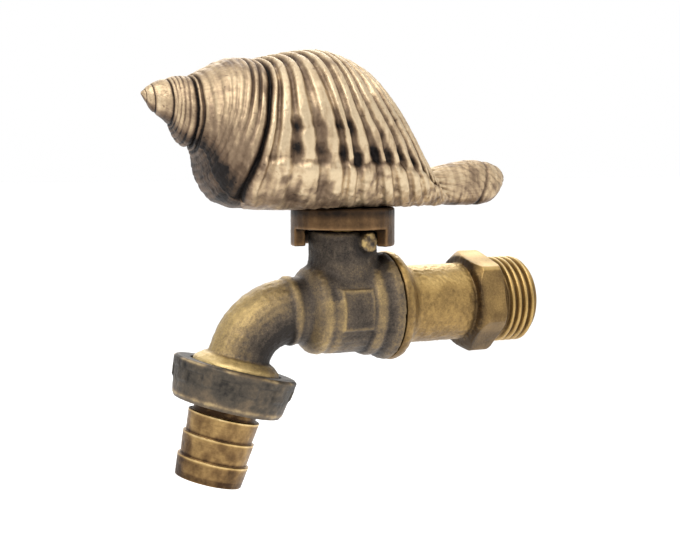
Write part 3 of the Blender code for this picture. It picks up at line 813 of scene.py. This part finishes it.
def make_tailpiece():
    """The inlet tailpiece, turned about its axis, with its hexagon and helical thread."""
    # Each row: x, radius, and how far it follows the hexagon.
    profile = [
        (TAIL_START_X, SOCKET_R, 0),
        (TAIL_START_X, COLLAR_R - 0.2, 0),
        (TAIL_START_X + 0.6, COLLAR_R, 0),
        (11.8, COLLAR_R, 0),
        (12.7, 12.55, 0),
        (13.5, 11.7, 0),
        (14.3, 10.6, 0),
        (15.1, 9.75, 0),
        (16.0, BARREL_R + 0.1, 0),
        (17.2, BARREL_R, 0),
        (HEX_X[0] - 0.2, BARREL_R, 0),
        (HEX_X[0], 9.4, 0),
        (HEX_X[0], 9.6, 1),
        (HEX_X[1], 9.6, 1),
        (HEX_X[1], 9.5, 0),
        (HEX_X[1] + 0.3, THREAD_ROOT_R, 0),
        (INLET_END_X, THREAD_ROOT_R, 0),
        (INLET_END_X, INLET_BORE_R, 0),
        (SOCKET_FLOOR_X, INLET_BORE_R, 0),
        (SOCKET_FLOOR_X, SOCKET_R, 0),
    ]
    turns = np.arange(300)[None, :] * TURN / 300
    rows = outline(profile, spacing=0.16, rounding=0.22)
    along, base, hexness = (rows[:, k][:, None] for k in range(3))
    outer = base > 8.2
    radius = base + np.where(outer, hexness * (spanner_hex(along, turns) - base), 0.0)
    ridge = 0.5 + 0.5 * np.cos(TURN * along / THREAD_PITCH - turns)
    ridge = fade(ridge, 0.12, 0.88)
    threaded = fade(along, THREAD_X[0] - 0.4, THREAD_X[0] + 1.2)
    threaded = threaded * (1 - fade(along, THREAD_X[1] - 0.5, THREAD_X[1] + 0.1))
    threaded = threaded * (base > 9.0) * (along > HEX_X[1] + 0.2)
    radius = radius + threaded * ridge * (THREAD_CREST_R - THREAD_ROOT_R)
    points = around_inlet(along, radius, turns)
    normals = grid_normals(points, True)
    middle = np.stack([along * np.ones_like(radius), 0 * radius, 0 * radius], -1)
    barrel = outer[:, 0] & (along[:, 0] > 20)
    normals = normals * np.sign((normals * (points - middle)).sum(-1)[barrel].mean())
    sand = layered(points, 0.9, 3, 51)
    cast = (along < HEX_X[0] + 0.5) & outer & (along > 11.0)
    points = points + normals * (np.where(cast, 0.085, 0.012) * sand)[..., None]
    # Painted light and shade: brighter where the surface faces up, darker where it faces down.
    wear_and_painted_light = 0.40 + 0.07 * layered(points, 4.0, 2, 53) + 0.44 * fade(normals[..., 2], 0.25, 0.9)
    wear_and_painted_light = wear_and_painted_light + 0.08 * np.where(cast, sand, 0.0) - 0.06 * fade(-normals[..., 2], 0.1, 0.9)
    wear_and_painted_light = wear_and_painted_light - 0.16 * hexness * fade(noise(points, 3.5, 57), -0.5, 0.5)
    wear_and_painted_light = wear_and_painted_light - 0.30 * peak(along, HEX_X[0], 0.9) - 0.35 * peak(along, HEX_X[1] + 0.7, 0.6)
    wear_and_painted_light = wear_and_painted_light - 0.10 * (1 - fade(along, 10.8, 12.2))
    wear_and_painted_light = wear_and_painted_light - threaded * 0.40 * (1 - ridge) + threaded * 0.22
    wear_and_painted_light = np.where(outer, wear_and_painted_light, 0.45)
    tail = grid_object("tailpiece_cast", points, True, {"wear_and_painted_light": np.clip(wear_and_painted_light, 0, 1)})
    brass = aged_metal(
        "cast_brass_gold_aged",
        [
            (0.05, (0.053, 0.033, 0.016)),
            (0.30, (0.176, 0.110, 0.044)),
            (0.55, (0.370, 0.238, 0.084)),
            (0.80, (0.581, 0.396, 0.150)),
            (1.0, (0.704, 0.510, 0.229)),
        ],
        rough=(0.52, 0.30),
        metallic=0.92,
        grain=0.22,
        mottle=0.45,
        depth=0.06,
        spread=0.34,
    )
    settle(tail, "body", "cast_brass_gold", brass, "inlet_tailpiece")


NUT_HEIGHT = 9.2
NUT_TABS = 10


def make_nut():
    """The collar nut: a tapered cup with cast tabs round its upper band."""
    profile = [
        (0.0, 10.5),
        (0.0, 13.7),
        (0.5, 14.0),
        (4.5, 13.5),
        (NUT_HEIGHT - 0.8, 12.85),
        (NUT_HEIGHT, 12.2),
        (NUT_HEIGHT, 8.6),
        (7.5, 8.6),
        (7.5, 10.5),
    ]
    turns = np.arange(420) * TURN / 420
    rows = outline(profile, spacing=0.14, rounding=0.20)
    along, base = rows[:, 0][:, None], rows[:, 1][:, None]
    side = fade(base, 12.0, 12.7) * fade(along, 0.1, 0.5)
    # The tabs reach down from the upper band, and the pads between them stand lower.
    tabs = np.cos(NUT_TABS * turns + 0.7)[None, :]
    tab = fade(tabs, -0.40, 0.40)
    tab_end = 4.9 + 0.3 * np.sin(3 * turns)[None, :]
    band = 1 - fade(along, 1.9, 2.7)
    raised = np.maximum(band, tab * (1 - fade(along, tab_end - 0.6, tab_end + 0.6)))
    rim = peak(raised, 0.4, 0.34)
    points = around_spout(along, base * np.ones_like(tabs), turns[None, :])
    sand = layered(points, 1.1, 3, 61)
    lift = side * (0.36 * raised - 0.08 * rim - 0.15) + 0.06 * sand * (base > 11.0)
    points = around_spout(along, base + lift, turns[None, :])
    wear_and_painted_light = 0.30 + 0.14 * layered(points, 4.0, 2, 63) + 0.10 * sand
    wear_and_painted_light = wear_and_painted_light - 0.09 * rim * side + 0.12 * fade(along, 4.5, 6.5)
    top_edge = peak(along, 0.35, 0.35) * fade(base, 12.6, 13.6)
    wear_and_painted_light = wear_and_painted_light + 0.55 * top_edge * fade(noise(points, 4.0, 65), -0.3, 0.4)
    wear_and_painted_light = wear_and_painted_light + 0.30 * peak(along, 8.2, 0.5) * fade(base, 11.5, 12.5)
    wear_and_painted_light = wear_and_painted_light - 0.10 * (along < 0.4) * (base < 13.0)
    nut = grid_object("collar_nut_cast", points, True, {"wear_and_painted_light": np.clip(wear_and_painted_light, 0, 1)})
    bronze = aged_metal(
        "nut_bronze_aged",
        [
            (0.05, (0.020, 0.018, 0.017)),
            (0.30, (0.074, 0.062, 0.048)),
            (0.55, (0.156, 0.115, 0.074)),
            (0.80, (0.386, 0.285, 0.147)),
            (1.0, (0.552, 0.460, 0.304)),
        ],
        rough=(0.62, 0.42),
        metallic=0.78,
        grain=0.35,
        mottle=0.9,
        depth=0.07,
        spread=0.28,
    )
    settle(nut, "collar", "nut_bronze", bronze, "spout_nut")


TAIL_END = 26.2
TAIL_BORE_R = 5.8
TAIL_NECK_R = 7.2
TAIL_FLANGE_R = 10.1
BARB_STARTS = (11.2, 16.1, 21.3)
BARB_R = (8.2, 7.6)


def make_hose_barb():
    """The hose tail: a flange inside the nut, a plain neck and three barbs."""
    profile = [
        (6.0, TAIL_BORE_R),
        (6.0, TAIL_FLANGE_R),
        (7.2, TAIL_FLANGE_R),
        (7.2, TAIL_NECK_R),
        (BARB_STARTS[0], TAIL_NECK_R),
    ]
    for start, end in zip(BARB_STARTS, (*BARB_STARTS[1:], TAIL_END)):
        profile.append((start, BARB_R[0]))
        profile.append((end, BARB_R[1]))
    profile.append((TAIL_END, TAIL_BORE_R))
    turns = np.arange(300) * TURN / 300
    rows = outline(profile, spacing=0.12, rounding=0.13)
    along, base = rows[:, 0][:, None], rows[:, 1][:, None]
    points = around_spout(along, base * np.ones((1, 300)), turns[None, :])
    lines = noise(np.stack([np.broadcast_to(along, (len(rows), 300)) * 9.0] * 3, -1), 1.0, 71)
    grain = layered(points, 1.4, 3, 73)
    outer = base > 6.4
    lift = np.where(outer, 0.02 * lines + 0.045 * grain, 0.0)
    points = around_spout(along, base + lift, turns[None, :])
    wear_and_painted_light = 0.43 + 0.08 * layered(points, 4.5, 3, 75) + 0.10 * grain
    wear_and_painted_light = wear_and_painted_light - 0.24 * fade(layered(points, 5.5, 2, 79), 0.1, 0.7)
    # A painted highlight along each barb's top edge, and a darker band just above it.
    for start in BARB_STARTS:
        wear_and_painted_light = wear_and_painted_light + 0.48 * peak(along, start + 0.22, 0.25)
        wear_and_painted_light = wear_and_painted_light - 0.30 * peak(along, start - 0.25, 0.3)
    neck = (along > 7.0) & (along < BARB_STARTS[0] - 0.1)
    wear_and_painted_light = wear_and_painted_light - np.where(neck, 0.28 + 0.20 * fade(noise(points, 3.0, 77), 0.0, 0.6), 0.0)
    wear_and_painted_light = wear_and_painted_light - 0.14 * fade(along, 21.6, 22.4) - 0.14 * fade(along, 24.6, 25.0)
    # A painted highlight on the bottom edge.
    wear_and_painted_light = wear_and_painted_light + 0.20 * peak(along, TAIL_END, 0.25)
    wear_and_painted_light = np.clip(np.where(outer, wear_and_painted_light, 0.3), 0, 1)
    barb = grid_object("hose_barb", points, True, {"wear_and_painted_light": wear_and_painted_light})
    brass = aged_metal(
        "tail_brass_aged",
        [
            (0.05, (0.050, 0.026, 0.012)),
            (0.32, (0.18, 0.105, 0.042)),
            (0.58, (0.37, 0.235, 0.090)),
            (0.82, (0.58, 0.40, 0.17)),
            (1.0, (0.76, 0.58, 0.30)),
        ],
        rough=(0.50, 0.32),
        metallic=0.9,
        grain=0.8,
        mottle=4.0,
        depth=0.05,
        spread=0.35,
    )
    settle(barb, "tail", "tail_brass", brass, "hose_tail")


# ---------------------------------------------------------------- hub


HUB_SKIRT_R = 9.2  # inside of the skirt


def make_hub():
    """The cup-shaped hub, darker towards the shell with painted shadow."""
    hub, points, edges = cast_copy("handle_hub", "hub_cup", voxel=0.20, rounds=5)
    update_points(hub, points)
    normals = point_normals(hub.data)
    hollow = hollowness(points, edges, normals, 24)
    x, y, z = points.T
    grain = layered(points, 1.2, 3, 81)
    streak = noise(points * (1.0, 1.0, 0.25), 2.2, 83)
    wear_and_painted_light = 0.42 + 0.14 * streak + 0.10 * layered(points, 5.0, 2, 85)
    # Painted shadow of the shell: darker towards the top.
    wear_and_painted_light -= 0.45 * fade(z, 20.8, 23.2)
    wear_and_painted_light -= 3.0 * np.clip(hollow, -0.08, 0.08)
    wear_and_painted_light = np.where(np.hypot(x, y) < HUB_SKIRT_R, 0.12, wear_and_painted_light)
    update_points(hub, points + normals * (0.03 * grain)[:, None])
    set_attribute(hub.data, "wear_and_painted_light", np.clip(wear_and_painted_light, 0.0, 1.0))
    bronze = aged_metal(
        "hub_bronze_aged",
        [
            (0.05, (0.014, 0.009, 0.006)),
            (0.32, (0.068, 0.038, 0.018)),
            (0.60, (0.176, 0.099, 0.043)),
            (0.85, (0.304, 0.190, 0.092)),
            (1.0, (0.416, 0.277, 0.142)),
        ],
        rough=(0.50, 0.38),
        metallic=0.85,
        grain=0.6,
        mottle=4.0,
        depth=0.05,
        spread=0.30,
    )
    settle(hub, "handle", "hub_bronze", bronze, "handle_hub")


# ---------------------------------------------------------------- carried-over nodes


def finish_cad_nodes():
    """Procedural finishes on the CAD pieces that keep their own meshes."""
    brass = plain_finish("turned_brass_finish", (0.60, 0.42, 0.16), 0.30, 1.0, 1.2, 0.01)
    chrome = plain_finish("ball_chrome_finish", (0.78, 0.78, 0.80), 0.12, 1.0, 2.0, 0.004, 0.05)
    steel = plain_finish("screw_steel_finish", (0.50, 0.50, 0.52), 0.35, 1.0, 1.0, 0.01)
    ptfe = plain_finish("seat_ptfe_finish", (0.80, 0.80, 0.77), 0.50, 0.0, 1.5, 0.01, 0.06)
    rubber = plain_finish("seal_rubber_finish", (0.022, 0.022, 0.022), 0.60, 0.0, 0.8, 0.01, 0.3)
    finishes = {
        "turned_brass": brass,
        "ball_chrome": chrome,
        "screw_steel": steel,
        "seat_ptfe": ptfe,
        "seal_rubber": rubber,
    }
    for part in frame["record"]["subparts"]:
        finish = finishes.get(part["material_slot"])
        if finish is None:
            continue
        node = frame["nodes"][part["node"]]
        for place in node.material_slots:
            place.material = finish


# ---------------------------------------------------------------- studio

# Metres in the shared frame.
CAMERA_AT = (-0.1604, -0.2423, 0.0347)
CAMERA_YAW = math.radians(24.76)
CAMERA_DOWN = math.radians(5.53)
CAMERA_LENS = 60.9
FLOOR_Z = -0.16
FLOOR_HALF = 9.0


def make_camera():
    """The camera, a little to the left of square on and slightly above the inlet."""
    data = bpy.data.cameras.new("camera")
    data.lens = CAMERA_LENS
    data.sensor_width = 36.0
    data.clip_start = 0.01
    camera = bpy.data.objects.new("camera", data)
    camera.location = CAMERA_AT
    camera.rotation_euler = (math.pi / 2 - CAMERA_DOWN, 0.0, -CAMERA_YAW)
    bpy.context.scene.collection.objects.link(camera)
    bpy.context.scene.camera = camera


def area_light(name, place, target, size, power):
    """A round soft light aimed at the target."""
    data = bpy.data.lights.new(name, "AREA")
    data.shape = "DISK"
    data.size = size
    data.energy = power
    light = bpy.data.objects.new(name, data)
    light.location = place
    aim = Vector(target) - Vector(place)
    light.rotation_euler = aim.to_track_quat("-Z", "Y").to_euler()
    bpy.context.scene.collection.objects.link(light)


def make_world():
    """White behind the object and overhead, grey in front, so that the metal has contrast."""
    world = bpy.data.worlds.new("studio")
    bpy.context.scene.world = world
    world.use_nodes = True
    tree = world.node_tree
    background = tree.nodes["Background"]
    background.inputs["Strength"].default_value = 1.0
    place = tree.nodes.new("ShaderNodeTexCoord")
    split = tree.nodes.new("ShaderNodeSeparateXYZ")
    tree.links.new(place.outputs["Generated"], split.inputs["Vector"])
    behind = range_node(tree, split.outputs["Y"], 0.0, 1.0)
    behind.node.inputs["From Min"].default_value = -0.25
    behind.node.inputs["From Max"].default_value = 0.25
    above = range_node(tree, split.outputs["Z"], 0.0, 1.0)
    above.node.inputs["From Min"].default_value = 0.15
    above.node.inputs["From Max"].default_value = 0.85
    white = math_node(tree, "MAXIMUM", behind, above)
    sky = ramp_node(tree, white, [(0.0, (0.38, 0.38, 0.39)), (1.0, (1.0, 1.0, 1.0))])
    tree.links.new(sky, background.inputs["Color"])


def make_lights():
    """Soft key, fill and back lights, and a very soft sun from overhead."""
    middle = (-0.05, 0.0, 0.01)
    area_light("key", (-0.55, -0.45, 0.60), middle, size=0.70, power=5.0)
    area_light("fill", (0.50, -0.55, 0.20), middle, size=0.60, power=1.0)
    area_light("back", (0.15, 0.60, 0.40), middle, size=0.60, power=2.0)
    data = bpy.data.lights.new("sky_fill", "SUN")
    data.energy = 0.7
    data.angle = math.radians(60.0)
    sun = bpy.data.objects.new("sky_fill", data)
    sun.rotation_euler = (math.radians(15.0), math.radians(-10.0), 0.0)
    bpy.context.scene.collection.objects.link(sun)


def make_floor():
    """A wide pale floor below the tap."""
    mesh = bpy.data.meshes.new("floor")
    build = bmesh.new()
    corners = [(-1, -1), (1, -1), (1, 1), (-1, 1)]
    reach = FLOOR_HALF
    build.faces.new([build.verts.new((x * reach, y * reach, FLOOR_Z)) for x, y in corners])
    build.to_mesh(mesh)
    build.free()
    floor = bpy.data.objects.new("floor", mesh)
    bpy.context.scene.collection.objects.link(floor)
    made, tree, shader = new_material("floor_pale")
    shader.inputs["Base Color"].default_value = (0.96, 0.96, 0.96, 1.0)
    shader.inputs["Roughness"].default_value = 0.9
    mesh.materials.append(made)


bpy.context.scene.view_settings.view_transform = "Standard"
make_camera()
make_world()
make_lights()
make_floor()
make_shell()
make_body()
make_tailpiece()
make_nut()
make_hose_barb()
make_hub()
finish_cad_nodes()
bpy.context.view_layer.update()
